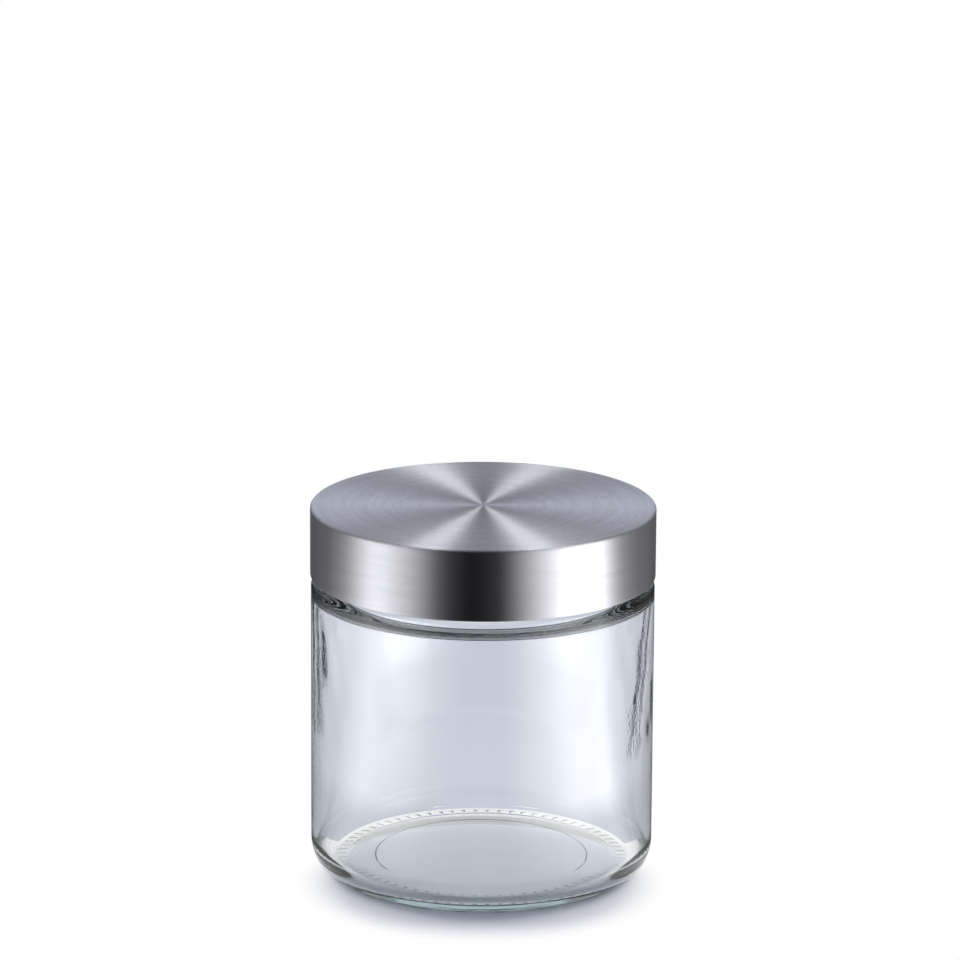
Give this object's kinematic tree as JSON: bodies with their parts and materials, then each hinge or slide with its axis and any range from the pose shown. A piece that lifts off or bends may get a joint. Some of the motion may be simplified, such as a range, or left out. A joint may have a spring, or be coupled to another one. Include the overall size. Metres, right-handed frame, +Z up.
{
  "type": "storage jar",
  "caption": "Round clear glass storage jar with a straight wall, thick rounded base and a flat brushed steel screw lid with a sealing ring.",
  "frame": {"origin": "on the jar's axis, at the surface that the jar stands on", "axes": "+Z up along the jar's axis; +X runs to the right as the picture shows the jar"},
  "size_m": [0.11, 0.11, 0.12],
  "materials": {
    "clear_glass": "clear, polished, faintly green in thick places",
    "brushed_steel": "circular brushing on the top, satin skirt",
    "moulded_plastic": "fine moulded satin",
    "silicone": "matt, slightly translucent"
  },
  "bodies": {
    "jar": {"glass_jar": "clear_glass"},
    "seal": {"sealing_ring": "silicone"},
    "lid": {"lid_shell": "brushed_steel", "thread_insert": "moulded_plastic"}
  },
  "joints": [
    {"name": "lid_rise", "type": "slide", "parent": "jar", "child": "seal", "axis": [0, 0, 1], "range_m": [0, 0.04]},
    {"name": "lid_turn", "type": "hinge", "parent": "seal", "child": "lid", "pos_m": [0, 0, 0.097], "axis": [0, 0, 1], "range_deg": [0, 720]}
  ],
  "couplings": [
    {"joint": "lid_rise", "follows": "lid_turn", "m_per_rad": 0.003183}
  ]
}
